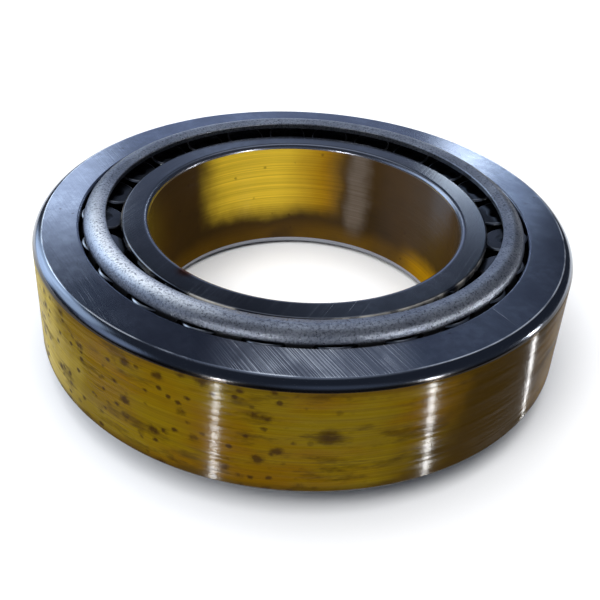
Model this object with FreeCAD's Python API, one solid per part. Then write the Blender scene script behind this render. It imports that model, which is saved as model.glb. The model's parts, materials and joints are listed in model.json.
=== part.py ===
"""Single-row tapered roller bearing, shown small end up.

The bearing axis is +Z and the origin is the centre of the cone's back face, on which the bearing stands.
Every raceway and every roller is a cone, and all of these cones share one apex on the axis above the
bearing, which is what lets the rollers roll without sliding.

Pieces, one node each:
  outer_ring  the cup, with a conical raceway inside it
  inner_ring  the cone, with a conical raceway between a small rib and a large rib
  cage        pressed sheet cage with one window for each roller
  roller_NN   tapered rollers
"""

import FreeCAD, Part  # noqa: E401  FreeCAD has to come before Part
import math
import os

# Envelope of the bearing, in millimetres
OUTSIDE_RADIUS = 70.0
BORE_RADIUS = 41.275
TOTAL_WIDTH = 36.5  # cone back face to cup back face
CONE_WIDTH = 36.1
CUP_WIDTH = 30.0

# Rolling geometry
ROLLER_COUNT = 24
FIRST_ROLLER_AZIMUTH = 8.0  # degrees from +X
CUP_ANGLE = math.radians(15.0)  # half angle of the cup raceway
ROLLER_ANGLE = math.radians(1.467)  # half angle of a roller
RACEWAY_RADIUS_AT_BACK_FACE = 58.4  # cup raceway, carried on to the back face
ROLLER_LENGTH = 28.5
ROLLER_EDGE_BELOW_BACK_FACE = 0.2
RUNNING_CLEARANCE = 0.06  # between a roller and each raceway or the large rib

# Cup corners
CUP_BACK_CORNER = 2.5
CUP_FRONT_CORNER = 1.3
CUP_RACEWAY_EDGE = 0.6

# Cone ribs and corners
SMALL_RIB_RADIUS = 48.3
LARGE_RIB_RADIUS = 56.8
SMALL_RIB_PLAY = 0.5
CONE_BACK_CORNER = 3.0
CONE_FRONT_CORNER = 1.5
RIB_EDGE = 0.6
GROOVE_WIDTH = 1.3
GROOVE_DEPTH = 0.35
GROOVE_CORNER = 0.15

# Rollers
ROLLER_CORNER = 0.7
LARGE_END_SPHERE_SHARE = 0.95  # radius of the large end's sphere, as a share of its distance from the apex
DIMPLE_RADIUS = 2.4
DIMPLE_DEPTH = 0.35

# Cage
CAGE_THICKNESS = 2.0
CAGE_TO_RACEWAY = 0.75
CAGE_BEND_RADIUS = 3.2  # outside of the bend at the small end
CAGE_ABOVE_BACK_FACE = 2.8
CAGE_FLANGE_RADIUS = 51.8  # free inner edge of the small end flange
CAGE_LARGE_RING = 4.5
CAGE_EDGE = 0.35
POCKET_PLAY = 0.2
POCKET_END_PLAY = 0.35
POCKET_HALF_WIDTH_SMALL = 4.75
POCKET_HALF_WIDTH_LARGE = 5.25
POCKET_CORNER = 0.9
POCKET_REACH = 12.0  # how far a window tool runs outwards from the roller axis

# Worked out from the sizes above
AXIS_ANGLE = CUP_ANGLE - ROLLER_ANGLE
CONE_ANGLE = CUP_ANGLE - 2 * ROLLER_ANGLE
APEX_Z = TOTAL_WIDTH + RACEWAY_RADIUS_AT_BACK_FACE / math.tan(CUP_ANGLE)
SMALL_END = (APEX_Z - TOTAL_WIDTH + ROLLER_EDGE_BELOW_BACK_FACE) / (
    math.cos(AXIS_ANGLE) - math.tan(ROLLER_ANGLE) * math.sin(AXIS_ANGLE)
)  # distance of a roller's small end from the apex, along the roller axis
LARGE_END = SMALL_END + ROLLER_LENGTH

UP = FreeCAD.Vector(0, 0, 1)
ORIGIN = FreeCAD.Vector(0, 0, 0)


def roller_plane(along, across):
    """(radius, z) of a point on a roller's own axial plane: along its axis from the apex, and outwards from it."""
    return (
        along * math.sin(AXIS_ANGLE) + across * math.cos(AXIS_ANGLE),
        APEX_Z - along * math.cos(AXIS_ANGLE) + across * math.sin(AXIS_ANGLE),
    )


def cup_plane(along, inwards):
    """(radius, z) of a point along the cup raceway from the apex, and inwards from it at a right angle."""
    return (
        along * math.sin(CUP_ANGLE) - inwards * math.cos(CUP_ANGLE),
        APEX_Z - along * math.cos(CUP_ANGLE) - inwards * math.sin(CUP_ANGLE),
    )


def raceway_point(angle, z):
    """(radius, z) of a point on a cone of that half angle about the bearing axis."""
    return (APEX_Z - z) * math.tan(angle), z


def rounded_wire(corners):
    """Closed wire through (x, y, fillet radius) corners, each a sharp corner or a tangent arc, in the XZ plane."""
    points = [FreeCAD.Vector(x, 0, y) for x, y, _ in corners]
    arcs = []
    for i, (_, _, fillet) in enumerate(corners):
        here = points[i]
        back = (points[i - 1] - here).normalize()
        ahead = (points[(i + 1) % len(points)] - here).normalize()
        if fillet == 0:
            arcs.append((here, None, here))
            continue
        half = back.getAngle(ahead) / 2
        reach = fillet / math.tan(half)
        middle = (back + ahead).normalize()
        summit = here + middle * (fillet / math.sin(half) - fillet)
        arcs.append((here + back * reach, summit, here + ahead * reach))
    edges = []
    for i, (start, summit, end) in enumerate(arcs):
        if summit is not None:
            edges.append(Part.Arc(start, summit, end).toShape())
        following = arcs[(i + 1) % len(arcs)][0]
        if end.distanceToPoint(following) > 1e-6:
            edges.append(Part.LineSegment(end, following).toShape())
    return Part.Wire(edges)


def turned(corners):
    """Solid of revolution about the bearing axis."""
    return Part.Face(rounded_wire(corners)).revolve(ORIGIN, UP, 360)


def make_cup():
    front_z = TOTAL_WIDTH - CUP_WIDTH
    return turned(
        [
            (OUTSIDE_RADIUS, front_z, CUP_FRONT_CORNER),
            (OUTSIDE_RADIUS, TOTAL_WIDTH, CUP_BACK_CORNER),
            (*raceway_point(CUP_ANGLE, TOTAL_WIDTH), CUP_RACEWAY_EDGE),
            (*raceway_point(CUP_ANGLE, front_z), CUP_RACEWAY_EDGE),
        ]
    )


def make_cone():
    """Inner ring. The faces of its ribs are square to the roller axis, and each meets the raceway in a relief groove."""
    small_face = SMALL_END - SMALL_RIB_PLAY
    large_face = LARGE_END + RUNNING_CLEARANCE

    def on_raceway(along, depth=0.0):
        return roller_plane(along, -along * math.tan(ROLLER_ANGLE) - depth)

    def on_face(along, radius):
        """Point of a rib face at that radius about the bearing axis."""
        across = (radius - along * math.sin(AXIS_ANGLE)) / math.cos(AXIS_ANGLE)
        return roller_plane(along, across)

    return turned(
        [
            (BORE_RADIUS, 0, CONE_BACK_CORNER),
            (LARGE_RIB_RADIUS, 0, RIB_EDGE),
            (*on_face(large_face, LARGE_RIB_RADIUS), RIB_EDGE),
            (*on_raceway(large_face, GROOVE_DEPTH), GROOVE_CORNER),
            (*on_raceway(large_face - GROOVE_WIDTH, GROOVE_DEPTH), GROOVE_CORNER),
            (*on_raceway(large_face - GROOVE_WIDTH), 0),
            (*on_raceway(small_face + GROOVE_WIDTH), 0),
            (*on_raceway(small_face + GROOVE_WIDTH, GROOVE_DEPTH), GROOVE_CORNER),
            (*on_raceway(small_face, GROOVE_DEPTH), GROOVE_CORNER),
            (*on_face(small_face, SMALL_RIB_RADIUS), GROOVE_CORNER),
            (SMALL_RIB_RADIUS, CONE_WIDTH, RIB_EDGE),
            (BORE_RADIUS, CONE_WIDTH, CONE_FRONT_CORNER),
        ]
    )


def placed_on_roller_axis(shape):
    """Moves a shape made about +Z, with the apex at its origin and the roller hanging down -Z, to the first roller."""
    shape.rotate(ORIGIN, FreeCAD.Vector(0, 1, 0), -math.degrees(AXIS_ANGLE))
    shape.translate(FreeCAD.Vector(0, 0, APEX_Z))
    return shape


def make_roller():
    """Tapered roller with rounded corners, a slightly spherical large end and a shallow dimple in each end."""

    def surface_radius(along):
        return along * math.tan(ROLLER_ANGLE) - RUNNING_CLEARANCE

    body = Part.Face(
        rounded_wire(
            [
                (0, -SMALL_END, 0),
                (surface_radius(SMALL_END), -SMALL_END, ROLLER_CORNER),
                (surface_radius(LARGE_END), -LARGE_END, ROLLER_CORNER),
                (0, -LARGE_END, 0),
            ]
        )
    ).revolve(ORIGIN, UP, 360)
    end_sphere_radius = LARGE_END * LARGE_END_SPHERE_SHARE
    end_sphere = Part.makeSphere(
        end_sphere_radius, FreeCAD.Vector(0, 0, end_sphere_radius - LARGE_END)
    )
    roller = body.common(end_sphere)
    dish_radius = (DIMPLE_RADIUS**2 + DIMPLE_DEPTH**2) / (2 * DIMPLE_DEPTH)
    dish_rise = dish_radius - DIMPLE_DEPTH
    for end_z in (-SMALL_END + dish_rise, -LARGE_END - dish_rise):
        dish = Part.makeSphere(dish_radius, FreeCAD.Vector(0, 0, end_z))
        roller = roller.cut(dish)
    return placed_on_roller_axis(roller)


def pocket_tools():
    """What is cut from the cage for the first roller: a punched window, and the roller's own space with some play."""
    small = SMALL_END - POCKET_END_PLAY
    large = LARGE_END + POCKET_END_PLAY
    outline = rounded_wire(
        [
            (-POCKET_HALF_WIDTH_SMALL, -small, POCKET_CORNER),
            (POCKET_HALF_WIDTH_SMALL, -small, POCKET_CORNER),
            (POCKET_HALF_WIDTH_LARGE, -large, POCKET_CORNER),
            (-POCKET_HALF_WIDTH_LARGE, -large, POCKET_CORNER),
        ]
    )
    window = Part.Face(outline).extrude(FreeCAD.Vector(0, -POCKET_REACH, 0))
    window.rotate(ORIGIN, UP, 90)  # the window now opens towards +X, outwards
    space = Part.makeCone(
        small * math.tan(ROLLER_ANGLE) + POCKET_PLAY,
        large * math.tan(ROLLER_ANGLE) + POCKET_PLAY,
        large - small,
        FreeCAD.Vector(0, 0, -small),
        FreeCAD.Vector(0, 0, -1),
    )
    return [placed_on_roller_axis(window), placed_on_roller_axis(space)]


def make_cage():
    """Pressed cage: a conical wall beside the cup raceway, bent inwards at the small end, with a window a roller."""
    crest_z = TOTAL_WIDTH + CAGE_ABOVE_BACK_FACE
    bend_depth = CAGE_TO_RACEWAY + CAGE_BEND_RADIUS
    bend_along = (
        APEX_Z - crest_z + CAGE_BEND_RADIUS - bend_depth * math.sin(CUP_ANGLE)
    ) / math.cos(CUP_ANGLE)
    top = bend_along - CAGE_BEND_RADIUS
    under = top + CAGE_THICKNESS
    end = LARGE_END + POCKET_END_PLAY + CAGE_LARGE_RING
    inside = CAGE_TO_RACEWAY + CAGE_THICKNESS
    flange = (top * math.sin(CUP_ANGLE) - CAGE_FLANGE_RADIUS) / math.cos(CUP_ANGLE)
    shell = turned(
        [
            (*cup_plane(end, CAGE_TO_RACEWAY), CAGE_EDGE),
            (*cup_plane(top, CAGE_TO_RACEWAY), CAGE_BEND_RADIUS),
            (*cup_plane(top, flange), CAGE_EDGE),
            (*cup_plane(under, flange), CAGE_EDGE),
            (*cup_plane(under, inside), CAGE_BEND_RADIUS - CAGE_THICKNESS),
            (*cup_plane(end, inside), CAGE_EDGE),
        ]
    )
    tools = [copy for tool in pocket_tools() for copy in around_axis(tool)]
    return shell.cut(tools)


def around_axis(shape):
    """One copy of a shape for each roller, evenly spaced about the bearing axis."""
    copies = []
    for i in range(ROLLER_COUNT):
        copy = shape.copy()
        copy.rotate(ORIGIN, UP, FIRST_ROLLER_AZIMUTH + 360.0 * i / ROLLER_COUNT)
        copies.append(copy)
    return copies


def single_solid(shape):
    solids = shape.Solids
    assert len(solids) == 1 and solids[0].isValid(), "the shape is not one valid solid"
    return solids[0]


def main():
    os.makedirs("parts", exist_ok=True)
    nodes = {"outer_ring": make_cup(), "inner_ring": make_cone(), "cage": make_cage()}
    for i, roller in enumerate(around_axis(make_roller()), start=1):
        nodes[f"roller_{i:02d}"] = roller
    for name, shape in nodes.items():
        solid = single_solid(shape)
        solid.exportStep(f"parts/{name}.step")
        box = solid.BoundBox
        print(f"{name}: {solid.Volume:.1f} mm3, z {box.ZMin:.2f} to {box.ZMax:.2f}")
    cup_pull = math.sin(CUP_ANGLE)
    cone_pull = math.sin(CONE_ANGLE)
    cage_ratio = cup_pull / (cup_pull + cone_pull)
    print(f"cage turns per cup turn, cone held: {cage_ratio:.9f}")
    print(
        f"roller turns per cup turn: {(1 - cage_ratio) * cup_pull / math.sin(ROLLER_ANGLE):.9f}"
    )
    print(f"apex z {APEX_Z:.6f}, roller axis angle {math.degrees(AXIS_ANGLE):.6f}")


main()
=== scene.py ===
"""Tapered roller bearing: the visual model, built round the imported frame.

Lengths are in millimetres until a mesh is made, and metres from there on. The bearing axis is +Z, and the
raceways and rollers are cones that share one apex on it, above the bearing.
"""

import json
import math

import bmesh
import bpy
from mathutils import Matrix, Vector


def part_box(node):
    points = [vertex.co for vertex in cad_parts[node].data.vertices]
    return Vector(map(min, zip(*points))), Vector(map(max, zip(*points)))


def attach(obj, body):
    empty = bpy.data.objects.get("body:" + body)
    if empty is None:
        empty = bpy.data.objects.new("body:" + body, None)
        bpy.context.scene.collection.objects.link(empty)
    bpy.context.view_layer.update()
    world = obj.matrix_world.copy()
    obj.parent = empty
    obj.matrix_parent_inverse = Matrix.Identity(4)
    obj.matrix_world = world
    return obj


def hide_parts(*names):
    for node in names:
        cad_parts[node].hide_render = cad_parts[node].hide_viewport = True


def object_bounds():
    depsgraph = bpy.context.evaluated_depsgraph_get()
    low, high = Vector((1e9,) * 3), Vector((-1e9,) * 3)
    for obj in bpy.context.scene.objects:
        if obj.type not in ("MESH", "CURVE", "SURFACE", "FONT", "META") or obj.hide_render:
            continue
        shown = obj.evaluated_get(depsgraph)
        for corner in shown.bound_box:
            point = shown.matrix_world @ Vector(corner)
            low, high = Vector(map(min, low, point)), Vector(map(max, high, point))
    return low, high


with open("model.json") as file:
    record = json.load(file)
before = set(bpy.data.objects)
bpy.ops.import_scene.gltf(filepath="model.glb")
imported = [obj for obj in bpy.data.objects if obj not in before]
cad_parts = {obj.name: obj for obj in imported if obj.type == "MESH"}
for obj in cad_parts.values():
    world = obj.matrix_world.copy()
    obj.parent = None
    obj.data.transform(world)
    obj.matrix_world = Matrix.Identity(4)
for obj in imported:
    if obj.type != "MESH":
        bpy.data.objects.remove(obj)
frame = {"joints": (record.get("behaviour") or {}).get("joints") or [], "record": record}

cad_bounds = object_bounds()

MM = 0.001

# What the frame says
MOUNTS = {mount["name"]: mount for mount in frame["record"]["mounts"]}
OUTSIDE_RADIUS = MOUNTS["outside_diameter"]["dims"]["r_mm"]
BORE_RADIUS = MOUNTS["bore"]["dims"]["r_mm"]
CUP_FRONT_Z, CUP_BACK_Z = (corner.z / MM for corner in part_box("outer_ring"))
CONE_FRONT_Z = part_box("inner_ring")[1].z / MM
CAGE_CREST_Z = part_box("cage")[1].z / MM
ROLLER_JOINTS = [
    joint for joint in frame["joints"] if joint["child"].startswith("roller_")
]
ROLLER_COUNT = len(ROLLER_JOINTS)
FIRST_AXIS = Vector(ROLLER_JOINTS[0]["axis"])
FIRST_CENTRE = Vector(ROLLER_JOINTS[0]["pos_m"]) / MM

# Rolling geometry
CUP_ANGLE = math.radians(15.0)
AXIS_ANGLE = math.atan2(FIRST_AXIS.xy.length, FIRST_AXIS.z)
ROLLER_ANGLE = CUP_ANGLE - AXIS_ANGLE
APEX_Z = FIRST_CENTRE.z + FIRST_CENTRE.xy.length / math.tan(AXIS_ANGLE)
ROLLER_MIDDLE = FIRST_CENTRE.xy.length / math.sin(AXIS_ANGLE)
ROLLER_LENGTH = 28.5
SMALL_END = ROLLER_MIDDLE - ROLLER_LENGTH / 2
LARGE_END = ROLLER_MIDDLE + ROLLER_LENGTH / 2
RUNNING_CLEARANCE = 0.06

# Rings
CUP_BACK_CORNER = 2.4
CUP_FRONT_CORNER = 1.3
CUP_RACEWAY_EDGE = 0.6
CUP_BACK_TURN = 0.66  # share of the right angle that its arc turns, so it meets both faces at a faint edge
SMALL_RIB_RADIUS = 48.3
LARGE_RIB_RADIUS = 56.8
SMALL_RIB_PLAY = 0.5
CONE_BACK_CORNER = 3.0
CONE_FRONT_CORNER = 1.5
RIB_EDGE = 0.6
GROOVE_WIDTH = 1.3
GROOVE_DEPTH = 0.35
GROOVE_CORNER = 0.15

# Rollers
ROLLER_CORNER = 0.7
END_CROWN = 0.08
DIMPLE_RADIUS = 2.4
DIMPLE_DEPTH = 0.35

# Cage
CAGE_THICKNESS = 2.0
CAGE_TO_RACEWAY = 0.75
CAGE_BEND_RADIUS = 3.2
CAGE_FLANGE_RADIUS = 51.8
CAGE_LARGE_RING = 4.5
CAGE_EDGE = 0.35
POCKET_PLAY = 0.35
POCKET_HALF_WIDTH_SMALL = 4.75
POCKET_HALF_WIDTH_LARGE = 5.25
POCKET_FLARE = 0.33  # how much wider a pocket is on the inside of the wall, on each side
POCKET_CORNER = 0.9

# Mesh fineness
RING_SEGMENTS = 384
ROLLER_SEGMENTS = 64
CORNER_STEPS = 9
EDGE_HOLD = 0.12  # distance from a rounded corner to the loop that keeps the next face flat
SHARP_ANGLE = math.radians(13)


# Outlines, in millimetres


def roller_plane(along, across):
    """(radius, z) of a point on a roller's axial plane: along its axis from the apex, and out from it."""
    return (
        along * math.sin(AXIS_ANGLE) + across * math.cos(AXIS_ANGLE),
        APEX_Z - along * math.cos(AXIS_ANGLE) + across * math.sin(AXIS_ANGLE),
    )


def cup_plane(along, inwards):
    """(radius, z) of a point along the cup raceway from the apex, and inwards from it at a right angle."""
    return (
        along * math.sin(CUP_ANGLE) - inwards * math.cos(CUP_ANGLE),
        APEX_Z - along * math.cos(CUP_ANGLE) - inwards * math.sin(CUP_ANGLE),
    )


def corner_points(before, here, after, fillet, steps, turn_share=1.0):
    """Points of the arc that rounds a corner, over that share of its turn, or the corner itself."""
    if fillet == 0:
        return [here]
    back = (before - here).normalized()
    ahead = (after - here).normalized()
    half = back.angle(ahead) / 2
    reach = fillet / math.tan(half)
    start, end = here + back * reach, here + ahead * reach
    turn = (math.pi - 2 * half) * turn_share
    radius = (end - start).length / 2 / math.sin(turn / 2)
    middle = (start + end) / 2
    centre = middle + (back + ahead).normalized() * radius * math.cos(turn / 2)
    spoke = start - centre
    way = 1 if spoke.cross(end - centre) > 0 else -1
    return [
        centre + Matrix.Rotation(way * turn * i / steps, 2) @ spoke
        for i in range(steps + 1)
    ]


def rounded(corners, closed=True, steps=CORNER_STEPS):
    """Outline through (x, y, fillet radius) corners, with a holding point near each end of a straight.
    A fourth value in a corner is the share of the turn that its arc takes."""
    points = [Vector(corner[:2]) for corner in corners]
    count = len(points)
    rounds = []
    for i, (_, _, fillet, *turn_share) in enumerate(corners):
        before, after = points[i - 1], points[(i + 1) % count]
        rounds.append(
            corner_points(before, points[i], after, fillet, steps, *turn_share)
        )
    outline = []
    for i, arc in enumerate(rounds):
        outline += arc
        if not closed and i == count - 1:
            break
        end, start = arc[-1], rounds[(i + 1) % count][0]
        gap = (start - end).length
        if gap > 4 * EDGE_HOLD:
            hold = (start - end) * (EDGE_HOLD / gap)
            outline += [end + hold, start - hold]
    return outline


def cup_outline():
    front, back = CUP_FRONT_Z, CUP_BACK_Z

    def raceway(z):
        return (APEX_Z - z) * math.tan(CUP_ANGLE)

    return rounded(
        [
            (OUTSIDE_RADIUS, front, CUP_FRONT_CORNER),
            (OUTSIDE_RADIUS, back, CUP_BACK_CORNER, CUP_BACK_TURN),
            (raceway(back), back, CUP_RACEWAY_EDGE),
            (raceway(front), front, CUP_RACEWAY_EDGE),
        ]
    )


def cone_outline():
    small_face = SMALL_END - SMALL_RIB_PLAY
    large_face = LARGE_END + RUNNING_CLEARANCE

    def on_raceway(along, depth=0.0):
        return roller_plane(along, -along * math.tan(ROLLER_ANGLE) - depth)

    def on_face(along, radius):
        across = (radius - along * math.sin(AXIS_ANGLE)) / math.cos(AXIS_ANGLE)
        return roller_plane(along, across)

    return rounded(
        [
            (BORE_RADIUS, 0, CONE_BACK_CORNER),
            (LARGE_RIB_RADIUS, 0, RIB_EDGE),
            (*on_face(large_face, LARGE_RIB_RADIUS), RIB_EDGE),
            (*on_raceway(large_face, GROOVE_DEPTH), GROOVE_CORNER),
            (*on_raceway(large_face - GROOVE_WIDTH, GROOVE_DEPTH), GROOVE_CORNER),
            (*on_raceway(large_face - GROOVE_WIDTH), 0),
            (*on_raceway(small_face + GROOVE_WIDTH), 0),
            (*on_raceway(small_face + GROOVE_WIDTH, GROOVE_DEPTH), GROOVE_CORNER),
            (*on_raceway(small_face, GROOVE_DEPTH), GROOVE_CORNER),
            (*on_face(small_face, SMALL_RIB_RADIUS), GROOVE_CORNER),
            (SMALL_RIB_RADIUS, CONE_FRONT_Z, RIB_EDGE),
            (BORE_RADIUS, CONE_FRONT_Z, CONE_FRONT_CORNER),
        ]
    )


def roller_outline():
    """Half outline of a roller about its middle, small end up, with crowned and dimpled end faces."""
    small = SMALL_END * math.tan(ROLLER_ANGLE) - RUNNING_CLEARANCE
    large = LARGE_END * math.tan(ROLLER_ANGLE) - RUNNING_CLEARANCE
    half = ROLLER_LENGTH / 2
    return rounded(
        [
            (0, half - DIMPLE_DEPTH, 0),
            (DIMPLE_RADIUS, half - END_CROWN / 2, 0.6),
            (small, half - END_CROWN, ROLLER_CORNER),
            (large, -half + END_CROWN, ROLLER_CORNER),
            (DIMPLE_RADIUS, -half + END_CROWN / 2, 0.6),
            (0, -half + DIMPLE_DEPTH, 0),
        ],
        closed=False,
    )


# Meshes, in metres


def finished(name, mesh_builder):
    """Mesh of a bmesh: welded, facing outwards, smooth, with edges kept where the surface really turns."""
    bmesh.ops.remove_doubles(mesh_builder, verts=mesh_builder.verts, dist=1e-7)
    bmesh.ops.recalc_face_normals(mesh_builder, faces=mesh_builder.faces)
    mesh = bpy.data.meshes.new(name)
    mesh_builder.to_mesh(mesh)
    mesh_builder.free()
    mesh.shade_smooth()
    mesh.set_sharp_from_angle(angle=SHARP_ANGLE)
    return mesh


def placed(name, mesh, material, matrix=None):
    piece = bpy.data.objects.new(name, mesh)
    bpy.context.scene.collection.objects.link(piece)
    if matrix is not None:
        piece.matrix_world = matrix
    if not mesh.materials:
        mesh.materials.append(material)
    return piece


def on_circle(radius, z, angle):
    return Vector((radius * math.cos(angle), radius * math.sin(angle), z)) * MM


def sweep(builder, outline, angles, closed_outline, closed_circle):
    """Quads of an outline of (radius, z) points carried round the axis through the angles."""
    rows = [
        [builder.verts.new(on_circle(r, z, angle)) for r, z in outline]
        for angle in angles
    ]
    row_count = len(rows) if closed_circle else len(rows) - 1
    point_count = len(outline) if closed_outline else len(outline) - 1
    for i in range(row_count):
        row, following = rows[i], rows[(i + 1) % len(rows)]
        for j in range(point_count):
            k = (j + 1) % len(outline)
            builder.faces.new((row[j], following[j], following[k], row[k]))


def turned(name, outline, segments, closed=True):
    builder = bmesh.new()
    angles = [2 * math.pi * i / segments for i in range(segments)]
    sweep(builder, outline, angles, closed, True)
    return finished(name, builder)


# Cage: a wall made one pocket at a time, a bend and flange above it, and a plain ring below it

PITCH = 2 * math.pi / ROLLER_COUNT
BEND_ALONG = (
    APEX_Z
    - CAGE_CREST_Z
    + CAGE_BEND_RADIUS
    - (CAGE_TO_RACEWAY + CAGE_BEND_RADIUS) * math.sin(CUP_ANGLE)
) / math.cos(CUP_ANGLE)
POCKET_TOP = SMALL_END - POCKET_PLAY
POCKET_BOTTOM = LARGE_END + POCKET_PLAY
CELL_TOP = BEND_ALONG
CELL_BOTTOM = POCKET_BOTTOM + POCKET_CORNER
STEPS_ACROSS = 18  # points along a pocket's end
STEPS_ALONG = 30  # points along a pocket's side
STEPS_CORNER = 4  # of those, how many lie on each half of a rounded corner
CELL_RINGS = 4  # loops from a pocket's edge to the edge of its cell


def pocket_side(start, end, inwards, steps, cell_start, cell_end):
    """(pocket point, cell point) pairs along a side of a pocket, from one corner's middle to the next."""
    along = (end - start).normalized()
    first_centre = start + (along + inwards) * POCKET_CORNER
    last_centre = end + (inwards - along) * POCKET_CORNER
    first = start + along * POCKET_CORNER
    last = end - along * POCKET_CORNER
    pairs = []
    for i in range(steps):
        if i < STEPS_CORNER:
            turn = math.pi / 4 * (1 + i / STEPS_CORNER)
            point = first_centre - POCKET_CORNER * (
                along * math.cos(turn) + inwards * math.sin(turn)
            )
        elif i > steps - STEPS_CORNER:
            turn = math.pi / 4 * (1 - (steps - i) / STEPS_CORNER)
            point = last_centre + POCKET_CORNER * (
                along * math.sin(turn) - inwards * math.cos(turn)
            )
        else:
            share = (i - STEPS_CORNER) / (steps - 2 * STEPS_CORNER)
            point = first.lerp(last, share)
        pairs.append((point, cell_start.lerp(cell_end, i / steps)))
    return pairs


def pocket_loop():
    """Matching points of a pocket's edge, as (share of half width, along), and of its cell's edge."""
    half = (POCKET_HALF_WIDTH_SMALL + POCKET_HALF_WIDTH_LARGE) / 2
    pocket = [
        Vector((-half, POCKET_TOP)),
        Vector((half, POCKET_TOP)),
        Vector((half, POCKET_BOTTOM)),
        Vector((-half, POCKET_BOTTOM)),
    ]
    cell = [
        Vector((-1, CELL_TOP)),
        Vector((1, CELL_TOP)),
        Vector((1, CELL_BOTTOM)),
        Vector((-1, CELL_BOTTOM)),
    ]
    inwards = [Vector((0, 1)), Vector((-1, 0)), Vector((0, -1)), Vector((1, 0))]
    steps = [STEPS_ACROSS, STEPS_ALONG, STEPS_ACROSS, STEPS_ALONG]
    pairs = []
    for i in range(4):
        k = (i + 1) % 4
        pairs += pocket_side(
            pocket[i], pocket[k], inwards[i], steps[i], cell[i], cell[k]
        )
    return [((point.x / half, point.y), cell_point) for point, cell_point in pairs]


def pocket_half_angle(along, layer):
    """Half the angle that a pocket spans round the axis, on the wall's outside (0) or inside (1)."""
    share = (along - POCKET_TOP) / (POCKET_BOTTOM - POCKET_TOP)
    half = POCKET_HALF_WIDTH_SMALL + share * (
        POCKET_HALF_WIDTH_LARGE - POCKET_HALF_WIDTH_SMALL
    )
    half += POCKET_FLARE * layer
    radius = cup_plane(along, CAGE_TO_RACEWAY + layer * CAGE_THICKNESS)[0]
    return math.asin(half / radius)


def wall_point(angle, along, layer):
    return on_circle(
        *cup_plane(along, CAGE_TO_RACEWAY + layer * CAGE_THICKNESS), angle
    )


def pocket_cell(builder, middle):
    """Both faces of the wall round one pocket, and the pocket's own walls."""
    loop = pocket_loop()
    edges = []
    for layer in (0, 1):
        rings = []
        for ring in range(CELL_RINGS + 1):
            share = ring / CELL_RINGS
            points = []
            for (across, along), cell_point in loop:
                pocket_angle = across * pocket_half_angle(along, layer)
                cell_angle = cell_point.x * PITCH / 2
                angle = pocket_angle + share * (cell_angle - pocket_angle)
                depth = along + share * (cell_point.y - along)
                points.append(
                    builder.verts.new(wall_point(middle + angle, depth, layer))
                )
            rings.append(points)
        for inner, outer in zip(rings, rings[1:]):
            bridge(builder, inner, outer)
        edges.append(rings[0])
    bridge(builder, *edges)


def bridge(builder, first, second):
    count = len(first)
    for i in range(count):
        k = (i + 1) % count
        builder.faces.new((first[i], first[k], second[k], second[i]))


def cage_bands():
    """Outlines of the bend and flange above the pockets, and of the ring below, from face to face."""
    outside = CAGE_TO_RACEWAY
    inside = CAGE_TO_RACEWAY + CAGE_THICKNESS
    top = BEND_ALONG - CAGE_BEND_RADIUS
    under = top + CAGE_THICKNESS
    flange = (top * math.sin(CUP_ANGLE) - CAGE_FLANGE_RADIUS) / math.cos(CUP_ANGLE)
    end = POCKET_BOTTOM + CAGE_LARGE_RING
    bend = rounded(
        [
            (*cup_plane(CELL_TOP, outside), 0),
            (*cup_plane(top, outside), CAGE_BEND_RADIUS),
            (*cup_plane(top, flange), CAGE_EDGE),
            (*cup_plane(under, flange), CAGE_EDGE),
            (*cup_plane(under, inside), CAGE_BEND_RADIUS - CAGE_THICKNESS),
            (*cup_plane(CELL_TOP, inside), 0),
        ],
        closed=False,
        steps=2 * CORNER_STEPS,
    )
    ring = rounded(
        [
            (*cup_plane(CELL_BOTTOM, outside), 0),
            (*cup_plane(end, outside), CAGE_EDGE),
            (*cup_plane(end, inside), CAGE_EDGE),
            (*cup_plane(CELL_BOTTOM, inside), 0),
        ],
        closed=False,
    )
    return bend, ring


def cage_mesh():
    builder = bmesh.new()
    first = math.atan2(FIRST_CENTRE.y, FIRST_CENTRE.x)
    count = ROLLER_COUNT * STEPS_ACROSS
    angles = [first - PITCH / 2 + 2 * math.pi * i / count for i in range(count)]
    for outline in cage_bands():
        sweep(builder, outline, angles, False, True)
    for i in range(ROLLER_COUNT):
        pocket_cell(builder, first + i * PITCH)
    return finished("cage_mesh", builder)


# Materials


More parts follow.
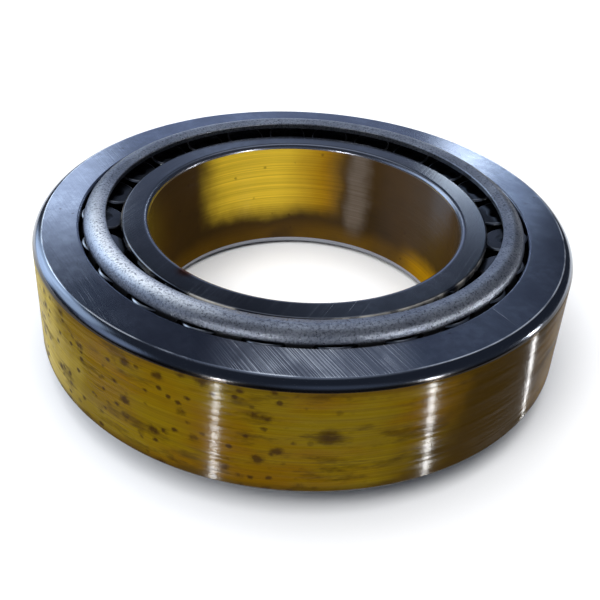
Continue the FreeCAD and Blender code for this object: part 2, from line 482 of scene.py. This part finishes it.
class Graph:
    """A material's node graph, with short calls for the nodes used here."""

    def __init__(self, name):
        self.material = bpy.data.materials.new(name)
        self.material.use_nodes = True
        self.tree = self.material.node_tree
        self.tree.nodes.clear()
        self.coordinates = self.add("TexCoord")
        self.place = self.coordinates.outputs["Object"]

    def feed(self, socket, value):
        if isinstance(value, bpy.types.NodeSocket):
            self.tree.links.new(value, socket)
        else:
            socket.default_value = value

    def add(self, kind, settings=None, inputs=None):
        node = self.tree.nodes.new("ShaderNode" + kind)
        for key, value in (settings or {}).items():
            setattr(node, key, value)
        for key, value in (inputs or {}).items():
            self.feed(node.inputs[key], value)
        return node

    def math(self, operation, first, second=0.0):
        node = self.add("Math", {"operation": operation}, {0: first, 1: second})
        return node.outputs[0]

    def near(self, spot, full, faded):
        """1 within that distance of a spot, in metres, and 0 from the farther one on."""
        away = self.vector("SUBTRACT", self.place, spot)
        length = self.add("VectorMath", {"operation": "LENGTH"}, {0: away})
        return self.step(length.outputs["Value"], faded, full)

    def product(self, first, *others):
        for other in others:
            first = self.math("MULTIPLY", first, other)
        return first

    def step(self, value, low, high):
        """0 below low, 1 above high, and smooth between them."""
        node = self.add(
            "MapRange",
            {"interpolation_type": "SMOOTHSTEP"},
            {"Value": value, "From Min": low, "From Max": high},
        )
        return node.outputs["Result"]

    def span(self, value, low, high):
        """A 0 to 1 value carried to low to high."""
        node = self.add("MapRange", None, {"Value": value, "To Min": low, "To Max": high})
        return node.outputs["Result"]

    def stretched(self, scale, turn=0.0):
        """The place on the object, turned about the bearing axis and then scaled along each row axis."""
        place = self.place
        if turn:
            place = self.add(
                "VectorRotate",
                {"rotation_type": "Z_AXIS"},
                {"Vector": place, "Angle": turn},
            ).outputs["Vector"]
        node = self.add("Mapping", None, {"Vector": place, "Scale": scale})
        return node.outputs["Vector"]

    def noise(self, scale, detail=4.0, roughness=0.55, turn=0.0):
        """Noise with that many features a metre along each row axis."""
        node = self.add(
            "TexNoise",
            None,
            {
                "Vector": self.stretched(scale, turn),
                "Scale": 1.0,
                "Detail": detail,
                "Roughness": roughness,
            },
        )
        return node.outputs["Fac"]

    def blots(self, scale, size, softness):
        """Round spots of uneven size, 1 inside them."""
        node = self.add(
            "TexVoronoi", None, {"Vector": self.stretched(scale), "Scale": 1.0}
        )
        wobble = self.math("MULTIPLY", self.noise((900, 900, 900)), size * 0.9)
        distance = self.math("ADD", node.outputs["Distance"], wobble)
        return self.math(
            "SUBTRACT", 1.0, self.step(distance, size - softness, size + softness)
        )

    def mix(self, factor, first, second):
        node = self.add(
            "Mix", {"data_type": "RGBA"}, {0: factor, 6: first, 7: second}
        )
        return node.outputs[2]

    def blend(self, factor, first, second):
        node = self.add("Mix", None, {0: factor, 2: first, 3: second})
        return node.outputs[0]

    def bump(self, height, distance, below=None):
        inputs = {"Height": height, "Distance": distance, "Strength": 1.0}
        if below is not None:
            inputs["Normal"] = below
        return self.add("Bump", None, inputs).outputs["Normal"]

    def vector(self, operation, first, second=(0, 0, 0)):
        node = self.add("VectorMath", {"operation": operation}, {0: first, 1: second})
        return node.outputs["Vector"]

    def ridged(self, slope):
        """Normal of a wall whose fine ridges lean it along the bearing axis, but not round it."""
        lean = self.add("CombineXYZ", None, {"Z": slope}).outputs["Vector"]
        flat = self.add("NewGeometry").outputs["Normal"]
        return self.vector("NORMALIZE", self.vector("ADD", flat, lean))

    def grit(self):
        """A different value from 0 to 1 at every point."""
        return self.add("TexWhiteNoise", None, {"Vector": self.place}).outputs["Value"]

    def radius(self):
        """Distance from the bearing axis, in metres."""
        across = self.vector("MULTIPLY", self.place, (1, 1, 0))
        length = self.add("VectorMath", {"operation": "LENGTH"}, {0: across})
        return length.outputs["Value"]

    def axis(self, name):
        node = self.add("SeparateXYZ", None, {0: self.place})
        return node.outputs[name]

    def finish(self, **inputs):
        shader = self.add("BsdfPrincipled", None, {"Metallic": 1.0})
        for key, value in inputs.items():
            self.feed(shader.inputs[key.replace("_", " ")], value)
        output = self.add("OutputMaterial")
        self.tree.links.new(shader.outputs[0], output.inputs["Surface"])
        return self.material


def colour(red, green, blue):
    return (red, green, blue, 1.0)


# Colours of the steel, its oil film and its stains, and of light and shade painted into them as painted
# highlights, painted reflections and painted shade. They are fixed to the pieces, and turn with them.
GROUND_BLUE = colour(0.33, 0.36, 0.43)
GROUND_DARK = colour(0.20, 0.22, 0.28)
# Pale of the scratches, and of painted highlights on crowded scratches and along the outer ring's face edge
SCRATCH_AND_HIGHLIGHT_PALE = colour(0.85, 0.90, 0.96)
# GROUND_CORNER and CORNER_FOOT are painted shade on the outer ring's rounded corner
GROUND_CORNER = colour(0.20, 0.22, 0.26)
CORNER_FOOT = colour(0.035, 0.030, 0.026)
# Painted highlight: the scratches there are real, and are painted pale where they catch the light
SCRATCH_HIGHLIGHT_SPOT = (0.004, -0.061, 0.0365)  # where the scratches crowd on the outer ring's face
CONE_BLUE = colour(0.24, 0.25, 0.27)
CONE_DARK = colour(0.15, 0.155, 0.17)
# Painted shade for the inner ring face's left and right sides
CONE_SIDE_SHADE = colour(0.08, 0.085, 0.10)
CONE_CORNER = colour(0.32, 0.33, 0.37)
RUST_EDGE = colour(0.13, 0.035, 0.012)
RUSTED_EDGE = (-0.0268, -0.0325, 0.036)  # where the inner ring's bore edge has rusted
OIL_AMBER = colour(0.185, 0.092, 0.0005)
# Olive and yellow also paint light on the outer wall's left, and brown paints shade on its right
OLIVE_FILM_AND_LIGHT = colour(0.205, 0.138, 0.003)
WALL_LIGHT_YELLOW = colour(0.520, 0.390, 0.060)
BROWN_FILM_AND_SHADE = colour(0.050, 0.027, 0.003)
# The bore's yellow, gold and grey are painted reflections on its wall
BORE_YELLOW = colour(0.95, 0.64, 0.040)
BORE_GOLD = colour(0.40, 0.20, 0.002)
BORE_AMBER = colour(0.115, 0.058, 0.005)
BORE_GREY = colour(0.14, 0.11, 0.085)
BORE_BROWN = colour(0.055, 0.028, 0.007)
BORE_DARK = colour(0.028, 0.016, 0.006)
RUST_SPOT = colour(0.030, 0.013, 0.003)
WALL_STAIN = (0.0077, -0.0696, 0.0229)  # the one large stain on the outer wall
CAGE_BLUE = colour(0.24, 0.265, 0.32)
CAGE_PALE = colour(0.42, 0.45, 0.51)
CAGE_DARK = colour(0.09, 0.10, 0.13)
CAGE_HIGHLIGHT = colour(0.86, 0.90, 0.95)
CAGE_CREST_RADIUS = 54.3
CAGE_HIGHLIGHT_SPOT = (-0.043, -0.034, 0.039)  # middle of a painted highlight along the cage rim's crest
# Painted shade for the cage below the rings' faces
CAGE_SHADE = colour(0.030, 0.031, 0.034)
# Painted highlight along the inner ring's rib edge
EDGE_HIGHLIGHT_PALE = colour(0.70, 0.66, 0.58)
# Roller colours are painted very dark as shade between the rings, and the rim colour is a painted highlight
ROLLER_BRIGHT = colour(0.10, 0.105, 0.115)
ROLLER_DULL = colour(0.04, 0.04, 0.045)
ROLLER_RIM_HIGHLIGHT = colour(0.45, 0.46, 0.48)

# Leans of the fine ridges on a ground wall, which spread a lamp into a streak
RIDGE_SLOPES = (0.35, 0.92)


def ground_face(graph, scratch_turn, tones, scratch_highlight_spot, smoothness):
    """Colour, roughness, height and scratches of a flat face, ground one way and lightly coated with oil.
    Near the spot given, the scratches crowd and are painted pale as a highlight.
    """
    pale, dark = tones
    cloud = graph.noise((60, 60, 60), 4.0, 0.6)
    base = graph.mix(graph.step(cloud, 0.38, 0.66), dark, pale)
    mottle = graph.noise((420, 420, 420), 4.0, 0.65)
    base = graph.mix(graph.span(graph.step(mottle, 0.4, 0.62), 0.0, 0.6), base, dark)
    grind = graph.noise((2600, 60, 60), 3.0, 0.6, scratch_turn)
    base = graph.mix(graph.span(grind, 0.0, 0.5), base, dark)
    lines = graph.noise((4200, 0.5, 0.5), 2.0, 0.6, scratch_turn)
    broken = graph.step(graph.noise((90, 90, 90), 2.0), 0.38, 0.6)
    where = graph.step(graph.noise((40, 40, 40), 2.0), 0.45, 0.62)
    rare = graph.product(graph.step(lines, 0.58, 0.70), where, broken, 0.5)
    # Painted highlight: near the spot the scratches crowd and are painted pale, as where they catch the
    # light
    scratch_highlight = graph.near(scratch_highlight_spot, 0.009, 0.025)
    crowded = graph.span(graph.step(lines, 0.42, 0.66), 0.12, 0.75)
    dense = graph.product(crowded, scratch_highlight, graph.span(broken, 0.55, 1.0))
    scratched = graph.math("MAXIMUM", rare, dense)
    base = graph.mix(scratched, base, SCRATCH_AND_HIGHLIGHT_PALE)
    flecks = graph.blots((210, 210, 210), 0.13, 0.03)
    rusty = graph.step(graph.noise((30, 30, 30), 2.0), 0.52, 0.62)
    base = graph.mix(graph.product(flecks, rusty, 0.8), base, RUST_SPOT)
    roughness = graph.blend(scratched, graph.span(grind, *smoothness), 0.5)
    return base, roughness, grind, scratched


def painted_edge_highlight(graph, radius, edge_radius, width):
    """1 in patches along an edge, where a highlight is painted in a pale colour."""
    distance = graph.math("ABSOLUTE", graph.math("SUBTRACT", radius, edge_radius * MM))
    painted_shine = graph.step(graph.noise((60, 60, 60), 3.0), 0.40, 0.58)
    return graph.product(graph.step(distance, width * MM, width * MM / 3), painted_shine)


def ring_material(graph, wall_mask, face, wall):
    """Steel of a ring: ground faces, and one wall ground round the axis under a stained coat of oil, whose
    colour also holds painted light and shade.
    """
    base, roughness, grind, scratched = face
    film_with_painted_light, spots, sheen, wall_roughness = wall
    rings = graph.noise((14, 14, 2400), 3.0, 0.6)
    film_with_painted_light = graph.mix(graph.span(rings, -0.2, 0.7), film_with_painted_light, BROWN_FILM_AND_SHADE)
    film_with_painted_light = graph.mix(spots, film_with_painted_light, RUST_SPOT)
    slope = graph.span(graph.blend(0.45, graph.grit(), rings), *RIDGE_SLOPES)
    ridged = graph.ridged(graph.math("MULTIPLY", slope, wall_mask))
    bare = graph.math("SUBTRACT", 1.0, graph.math("MULTIPLY", scratched, 0.4))
    return graph.finish(
        Base_Color=graph.mix(wall_mask, base, film_with_painted_light),
        Metallic=graph.blend(wall_mask, bare, 0.0),
        Specular_IOR_Level=sheen,
        Roughness=graph.blend(wall_mask, roughness, wall_roughness),
        Normal=graph.bump(graph.blend(wall_mask, grind, 0.5), 0.000012, ridged),
    )


def outer_ring_material():
    graph = Graph("outer_ring_steel")
    wall_radius = (OUTSIDE_RADIUS - 0.12) * MM
    radius = graph.radius()
    wall_mask = graph.step(radius, wall_radius, wall_radius + 0.00008)
    cloud = graph.noise((22, 22, 60), 4.0, 0.6)
    film_with_painted_light = graph.mix(graph.step(cloud, 0.42, 0.62), OIL_AMBER, OLIVE_FILM_AND_LIGHT)
    wander = graph.span(graph.noise((40, 40, 40)), -0.02, 0.02)
    side = graph.math("ADD", graph.axis("X"), wander)
    # Painted light and shade: the film is banded by side, olive and yellow towards the left where light
    # falls, brown to the right as shade, and amber again at the far right
    film_with_painted_light = graph.mix(graph.step(side, 0.022, 0.04), film_with_painted_light, BROWN_FILM_AND_SHADE)
    film_with_painted_light = graph.mix(graph.step(side, 0.052, 0.064), film_with_painted_light, OIL_AMBER)
    film_with_painted_light = graph.mix(graph.step(side, -0.034, -0.054), film_with_painted_light, OLIVE_FILM_AND_LIGHT)
    film_with_painted_light = graph.mix(graph.step(side, -0.046, -0.066), film_with_painted_light, WALL_LIGHT_YELLOW)
    smears = graph.step(graph.noise((70, 70, 260), 4.0, 0.65), 0.5, 0.68)
    film_with_painted_light = graph.mix(graph.math("MULTIPLY", smears, 0.7), film_with_painted_light, BROWN_FILM_AND_SHADE)
    crowd = graph.math("SUBTRACT", 1.0, graph.step(side, -0.012, 0.024))
    large_spots = graph.blots((150, 150, 190), 0.36, 0.12)
    small_spots = graph.blots((260, 260, 330), 0.34, 0.1)
    spots = graph.math("MAXIMUM", large_spots, small_spots)
    spots = graph.product(spots, graph.span(crowd, 0.12, 0.85))
    mottle = graph.span(graph.noise((700, 700, 700)), 0.4, 1.0)
    stain = graph.product(graph.near(WALL_STAIN, 0.0008, 0.0032), mottle)
    spots = graph.math("MAXIMUM", spots, stain)
    # The film is painted darker brown towards both ends of the wall
    height = graph.axis("Z")
    rims = graph.math(
        "MAXIMUM",
        graph.step(height, (CUP_BACK_Z - 4.2) * MM, (CUP_BACK_Z - 1.8) * MM),
        graph.step(height, (CUP_FRONT_Z + 3.0) * MM, (CUP_FRONT_Z + 1.2) * MM),
    )
    film_with_painted_light = graph.mix(graph.math("MULTIPLY", rims, 0.65), film_with_painted_light, BROWN_FILM_AND_SHADE)
    base, roughness, grind, scratched = ground_face(
        graph, math.radians(-34), (GROUND_BLUE, GROUND_DARK), SCRATCH_HIGHLIGHT_SPOT, (0.12, 0.19)
    )
    edge_radius = OUTSIDE_RADIUS - CUP_BACK_CORNER
    # Painted shade: the rounded corner is painted darker, and its foot near black where it meets the wall
    corner = graph.step(radius, edge_radius * MM, (edge_radius + 0.2) * MM)
    base = graph.mix(corner, base, GROUND_CORNER)
    foot = graph.step(radius, (OUTSIDE_RADIUS - 0.6) * MM, (OUTSIDE_RADIUS - 0.25) * MM)
    base = graph.mix(foot, base, CORNER_FOOT)
    scratched = graph.math("MULTIPLY", scratched, graph.math("SUBTRACT", 1.0, corner))
    # Painted highlight: pale patches along the face's outer edge
    edge = graph.math("MULTIPLY", painted_edge_highlight(graph, radius, edge_radius, 0.25), 0.6)
    base = graph.mix(edge, base, SCRATCH_AND_HIGHLIGHT_PALE)
    roughness = graph.blend(corner, roughness, 0.14)
    face = base, roughness, grind, graph.math("MAXIMUM", scratched, edge)
    rings = graph.noise((60, 60, 1500), 3.0)
    sheen = graph.span(graph.step(rings, 0.36, 0.62), 0.08, 0.42)
    wall = film_with_painted_light, spots, sheen, graph.span(rings, 0.04, 0.17)
    return ring_material(graph, wall_mask, face, wall)


def inner_ring_material():
    graph = Graph("inner_ring_steel")
    radius = graph.radius()
    wall_mask = graph.step(radius, (BORE_RADIUS + 0.03) * MM, (BORE_RADIUS + 0.01) * MM)
    cloud = graph.noise((24, 24, 30), 4.0, 0.6)
    film_with_painted_light = graph.mix(graph.step(cloud, 0.35, 0.7), BORE_BROWN, BORE_DARK)
    wander = graph.span(graph.noise((60, 60, 60)), -0.004, 0.004)
    across = graph.math("ADD", graph.axis("X"), wander)
    height = graph.math("ADD", graph.axis("Z"), wander)
    low = graph.product(
        graph.step(height, 0.011, 0.004), graph.step(graph.noise((30, 30, 30)), 0.4, 0.6)
    )
    film_with_painted_light = graph.mix(low, film_with_painted_light, BORE_AMBER)
    # Painted reflection: a gold stretch low on the bore's right
    painted_gold_reflection = graph.product(graph.step(across, 0.029, 0.037), graph.step(height, 0.013, 0.006))
    film_with_painted_light = graph.mix(painted_gold_reflection, film_with_painted_light, BORE_GOLD)
    # Painted reflections on the bore's far half: a grey streak, and a yellow to gold patch in its upper part
    painted_grey_streak = graph.product(
        graph.step(across, 0.0115, 0.015),
        graph.step(across, 0.0205, 0.0165),
        graph.step(height, 0.004, 0.014),
    )
    painted_yellow_reflection = graph.product(
        graph.step(across, -0.034, -0.024),
        graph.step(across, 0.014, 0.004),
        graph.step(height, 0.009, 0.018),
    )
    bright = graph.mix(graph.step(across, -0.012, 0.008), BORE_YELLOW, BORE_GOLD)
    far_half = graph.step(graph.axis("Y"), 0.0, 0.01)
    film_with_painted_light = graph.mix(graph.math("MULTIPLY", painted_grey_streak, far_half), film_with_painted_light, BORE_GREY)
    film_with_painted_light = graph.mix(graph.math("MULTIPLY", painted_yellow_reflection, far_half), film_with_painted_light, bright)
    spots = graph.math("MULTIPLY", graph.blots((150, 150, 150), 0.12, 0.04), 0.5)
    base, roughness, grind, scratched = ground_face(
        graph, math.radians(25), (CONE_BLUE, CONE_DARK), (0.0, 0.0, -1.0), (0.09, 0.15)
    )
    # Painted highlight: pale patches along the rib's outer edge
    edge = painted_edge_highlight(graph, radius, SMALL_RIB_RADIUS, 0.5)
    base = graph.mix(edge, base, EDGE_HIGHLIGHT_PALE)
    # Painted shade: the face is painted darker towards its left and right sides
    sides = graph.step(graph.math("ABSOLUTE", graph.axis("X")), 0.030, 0.044)
    base = graph.mix(graph.math("MULTIPLY", sides, 0.6), base, CONE_SIDE_SHADE)
    corner = graph.step(
        radius, (BORE_RADIUS + CONE_FRONT_CORNER) * MM, (BORE_RADIUS + CONE_FRONT_CORNER / 2) * MM
    )
    base = graph.mix(corner, base, CONE_CORNER)
    base = graph.mix(graph.near(RUSTED_EDGE, 0.0008, 0.0034), base, RUST_EDGE)
    roughness = graph.blend(corner, graph.blend(edge, roughness, 0.4), 0.26)
    face = base, roughness, grind, graph.math("MAXIMUM", scratched, edge)
    return ring_material(graph, wall_mask, face, (film_with_painted_light, spots, 0.22, 0.2))


def cage_material():
    """Pressed sheet steel: satin, grainy and paler in patches, with a painted highlight on the rim's crest,
    and painted near black below the rings' faces as shade between the parts.
    """
    graph = Graph("cage_steel")
    grain = graph.noise((1900, 1900, 1900), 4.0, 0.7)
    patches = graph.noise((60, 60, 60), 4.0, 0.6)
    base = graph.mix(graph.step(patches, 0.35, 0.7), CAGE_BLUE, CAGE_PALE)
    base = graph.mix(graph.span(graph.step(grain, 0.38, 0.58), 0.65, 0.0), base, CAGE_DARK)
    pits = graph.blots((800, 800, 800), 0.2, 0.06)
    base = graph.mix(graph.math("MULTIPLY", pits, 0.25), base, CAGE_DARK)
    from_crest = graph.math("SUBTRACT", graph.radius(), CAGE_CREST_RADIUS * MM)
    crest = graph.math("ABSOLUTE", from_crest)
    # Painted highlight: a pale patch along the rim's crest
    painted_shine = graph.product(
        graph.near(CAGE_HIGHLIGHT_SPOT, 0.010, 0.044),
        graph.step(crest, 0.0029, 0.0004),
        graph.span(graph.step(grain, 0.36, 0.56), 0.35, 1.0),
    )
    base = graph.mix(painted_shine, base, CAGE_HIGHLIGHT)
    # Painted shade: the cage is painted near black below the outer ring's back face, between the rings
    shade_below_faces = graph.step(graph.axis("Z"), (CUP_BACK_Z + 0.5) * MM, (CUP_BACK_Z - 0.2) * MM)
    base = graph.mix(shade_below_faces, base, CAGE_SHADE)
    height = graph.math("SUBTRACT", grain, graph.math("MULTIPLY", pits, 0.4))
    return graph.finish(
        Base_Color=base,
        Metallic=graph.span(painted_shine, 0.88, 0.5),
        Roughness=graph.span(grain, 0.22, 0.36),
        Normal=graph.bump(height, 0.00009),
    )


def roller_material():
    """Finely ground and coated with oil, and painted very dark as shade between the rings: rings along the
    rolling surface, and a painted highlight as a pale rim at the small end.
    """
    graph = Graph("roller_steel")
    rings = graph.noise((30, 30, 2200), 3.0, 0.6)
    cloud = graph.noise((90, 90, 90), 3.0)
    base = graph.mix(graph.step(cloud, 0.4, 0.7), ROLLER_BRIGHT, ROLLER_DULL)
    base = graph.mix(graph.span(rings, -0.1, 0.35), base, ROLLER_DULL)
    corner = ROLLER_CORNER * MM
    end = (ROLLER_LENGTH / 2 - END_CROWN) * MM
    small = (SMALL_END * math.tan(ROLLER_ANGLE) - RUNNING_CLEARANCE) * MM
    # Painted highlight: a pale rim round the small end's corner
    rim = graph.product(
        graph.step(graph.axis("Z"), end - corner, end - corner / 2),
        graph.step(graph.radius(), small - corner, small - corner / 2),
    )
    base = graph.mix(rim, base, ROLLER_RIM_HIGHLIGHT)
    return graph.finish(
        Base_Color=base,
        Roughness=graph.blend(rim, graph.span(rings, 0.14, 0.26), 0.3),
        Normal=graph.bump(rings, 0.000006),
    )


def floor_material():
    graph = Graph("pale_floor")
    cloud = graph.noise((6, 6, 6), 3.0)
    return graph.finish(
        Base_Color=graph.mix(cloud, colour(0.83, 0.83, 0.83), colour(0.86, 0.86, 0.86)),
        Metallic=0.0,
        Roughness=0.9,
        Specular_IOR_Level=0.1,
    )


# Pieces


def add_rings():
    outer = placed(
        "cup_ring",
        turned("cup_ring", cup_outline(), RING_SEGMENTS),
        outer_ring_material(),
    )
    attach(outer, "outer_ring")
    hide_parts("outer_ring")
    inner = placed(
        "cone_ring",
        turned("cone_ring", cone_outline(), RING_SEGMENTS),
        inner_ring_material(),
    )
    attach(inner, "inner_ring")
    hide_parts("inner_ring")


def add_cage():
    cage = placed("pressed_cage", cage_mesh(), cage_material())
    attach(cage, "cage")
    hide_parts("cage")


def add_rollers():
    material = roller_material()
    mesh = turned("tapered_roller", roller_outline(), ROLLER_SEGMENTS, closed=False)
    for joint in ROLLER_JOINTS:
        node = joint["child"]
        turn = Vector((0, 0, 1)).rotation_difference(Vector(joint["axis"]))
        matrix = Matrix.Translation(Vector(joint["pos_m"])) @ turn.to_matrix().to_4x4()
        roller = placed("tapered_" + node, mesh, material, matrix)
        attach(roller, node)
        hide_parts(node)


# Studio

FLOOR_SIZE = 8.0
FLOOR_CELLS = 8
FLOOR_GAP = 0.00005  # keeps the floor just clear of the bearing's lowest face


def add_floor():
    builder = bmesh.new()
    bmesh.ops.create_grid(
        builder, x_segments=FLOOR_CELLS, y_segments=FLOOR_CELLS, size=FLOOR_SIZE / 2
    )
    mesh = bpy.data.meshes.new("floor")
    builder.to_mesh(mesh)
    builder.free()
    floor = placed("floor", mesh, floor_material())
    floor.location.z = cad_bounds[0].z - FLOOR_GAP


def toward(azimuth, elevation):
    """Direction at that azimuth from the camera's side (-Y), positive to the right, and that height."""
    a, e = math.radians(azimuth), math.radians(elevation)
    return Vector((math.sin(a) * math.cos(e), -math.cos(a) * math.cos(e), math.sin(e)))


def add_light(name, azimuth, elevation, distance, size, power):
    """A rectangular soft light that faces the bearing."""
    data = bpy.data.lights.new(name, "AREA")
    data.shape = "RECTANGLE"
    data.size, data.size_y = size
    data.energy = power
    light = bpy.data.objects.new(name, data)
    bpy.context.scene.collection.objects.link(light)
    direction = toward(azimuth, elevation)
    target = Vector((0, 0, CUP_BACK_Z * MM))
    light.location = target + direction * distance
    light.rotation_euler = (-direction).to_track_quat("-Z", "Y").to_euler()
    return light


# Narrow lamps, seen only in glossy reflections: azimuth, elevation, width and power
STREAKS = [
    ("streak_left", -26.7, 12, 0.02, 1.5),
    ("streak_right", 49.1, 12, 0.02, 1.8),
    ("streak_edge", 94.2, 4, 0.025, 1.1),
]
STREAK_DISTANCE = 1.0
STREAK_HEIGHT = 0.2


def add_lights():
    """A broad lamp for the floor, and narrow lamps for the streaks on the outer wall."""
    overhead = add_light("overhead", 0, 88, 1.6, (2.2, 2.2), 46)
    fill = add_light("fill", -38, 42, 1.3, (0.6, 0.6), 7)
    for lamp in (overhead, fill):
        lamp.visible_glossy = False  # polished faces mirror the room, not these lamps
    for name, azimuth, elevation, width, power in STREAKS:
        size = (width, STREAK_HEIGHT)
        streak = add_light(name, azimuth, elevation, STREAK_DISTANCE, size, power)
        streak.visible_diffuse = False


# The room that the polished faces mirror. A glow is its azimuth, elevation, width, fade and colour.
ROOM = (0.045, 0.054, 0.076)
GLOWS = [
    (-161, 26.5, 1, 5, (1.9, 2.2, 2.6)),
    (-145, 34, 3, 11, (1.2, 1.4, 1.6)),
    (-130, 30, 5, 16, (1.2, 1.5, 1.9)),
    (-122, 10, 5, 17, (1.6, 2.0, 2.6)),
    (-107, 30, 6, 20, (1.1, 1.35, 1.7)),
    (-76, 22, 4, 20, (0.45, 0.55, 0.75)),
    (-164, 16, 5, 20, (0.15, 0.19, 0.28)),
    (180, 16, 5, 22, (0.24, 0.29, 0.42)),
    (168.5, 24.4, 0.3, 2.4, (5.0, 5.6, 6.0)),
    (166, 25.5, 1, 5, (0.8, 1.0, 1.3)),
    (168, 38, 4, 13, (0.08, 0.10, 0.14)),
    (180, 68, 8, 26, (0.50, 0.55, 0.65)),
    (15, 25, 5, 28, (0.09, 0.11, 0.15)),
]


def add_world():
    """A dim room with soft glows where its windows are."""
    world = bpy.data.worlds.new("studio")
    bpy.context.scene.world = world
    world.use_nodes = True
    nodes, links = world.node_tree.nodes, world.node_tree.links
    nodes.clear()
    place = nodes.new("ShaderNodeTexCoord").outputs["Generated"]
    background = nodes.new("ShaderNodeBackground")
    output = nodes.new("ShaderNodeOutputWorld")
    sky = nodes.new("ShaderNodeCombineXYZ").outputs[0]
    for socket, value in zip(sky.node.inputs, ROOM):
        socket.default_value = value
    for azimuth, elevation, full, faded, tint in GLOWS:
        near = nodes.new("ShaderNodeVectorMath")
        near.operation = "DOT_PRODUCT"
        near.inputs[1].default_value = toward(azimuth, elevation)
        strength = nodes.new("ShaderNodeMapRange")
        strength.interpolation_type = "SMOOTHSTEP"
        strength.inputs["From Min"].default_value = math.cos(math.radians(faded))
        strength.inputs["From Max"].default_value = math.cos(math.radians(full))
        added = nodes.new("ShaderNodeVectorMath")
        added.operation = "MULTIPLY_ADD"
        added.inputs[1].default_value = tint
        links.new(place, near.inputs[0])
        links.new(near.outputs["Value"], strength.inputs["Value"])
        links.new(strength.outputs["Result"], added.inputs[0])
        links.new(sky, added.inputs[2])
        sky = added.outputs["Vector"]
    links.new(sky, background.inputs["Color"])
    links.new(background.outputs[0], output.inputs["Surface"])


# Camera: how far it stands from the bearing, and where it looks
CAMERA_ELEVATION = 29.04
CAMERA_DISTANCE = 3.1464  # in outside radii, from the middle of the outer ring's back face
CAMERA_ROLL = 3.48
CAMERA_LENS = 49.4
CAMERA_SHIFT = (-0.009, -0.152)


def add_camera():
    data = bpy.data.cameras.new("camera")
    data.lens = CAMERA_LENS
    data.shift_x, data.shift_y = CAMERA_SHIFT
    data.clip_start, data.clip_end = 0.005, 50
    camera = bpy.data.objects.new("camera", data)
    bpy.context.scene.collection.objects.link(camera)
    target = Vector((0, 0, CUP_BACK_Z * MM))
    back = toward(0, CAMERA_ELEVATION)
    camera.location = target + back * (CAMERA_DISTANCE * OUTSIDE_RADIUS * MM)
    roll = Matrix.Rotation(math.radians(CAMERA_ROLL), 3, "Z")
    level = (-back).to_track_quat("-Z", "Y").to_matrix()
    camera.rotation_euler = (level @ roll).to_euler()
    bpy.context.scene.camera = camera


def main():
    add_rings()
    add_cage()
    add_rollers()
    add_floor()
    add_lights()
    add_world()
    add_camera()
    bpy.context.scene.view_settings.view_transform = "Standard"
    bpy.context.view_layer.update()


main()
